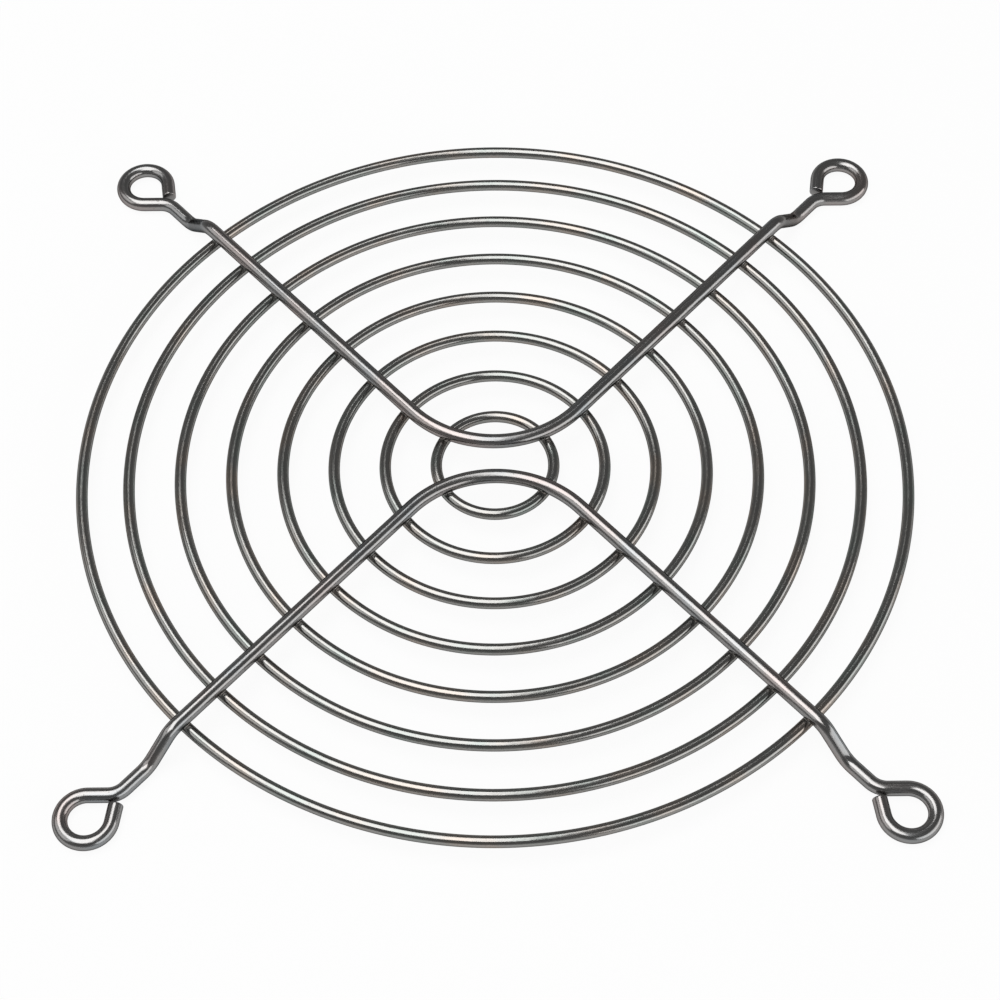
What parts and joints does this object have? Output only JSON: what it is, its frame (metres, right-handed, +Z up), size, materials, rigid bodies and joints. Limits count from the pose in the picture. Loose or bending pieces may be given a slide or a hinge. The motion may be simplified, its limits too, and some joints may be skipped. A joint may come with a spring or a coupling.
{
  "type": "wire fan guard",
  "caption": "Round wire fan guard: concentric plated wire rings welded to bent support wires, with a screw eye at each corner.",
  "frame": {"origin": "on the floor under the middle of the rings, with the guard lying on its four screw eyes", "axes": "+Z up through the middle of the rings, out of the fan; +X and +Y along the sides of the square of screw eyes; the two support wires run along X"},
  "size_m": [0.1158, 0.1158, 0.0056],
  "materials": {
    "ring_wire": "bright nickel plating over drawn steel wire, 1.6 mm",
    "support_wire": "bright nickel plating over drawn steel wire, 2.0 mm"
  },
  "bodies": {
    "root": {"ring_1": "ring_wire", "ring_2": "ring_wire", "ring_3": "ring_wire", "ring_4": "ring_wire", "ring_5": "ring_wire", "ring_6": "ring_wire", "ring_7": "ring_wire", "ring_8": "ring_wire", "front_support_wire": "support_wire", "rear_support_wire": "support_wire"}
  },
  "joints": []
}
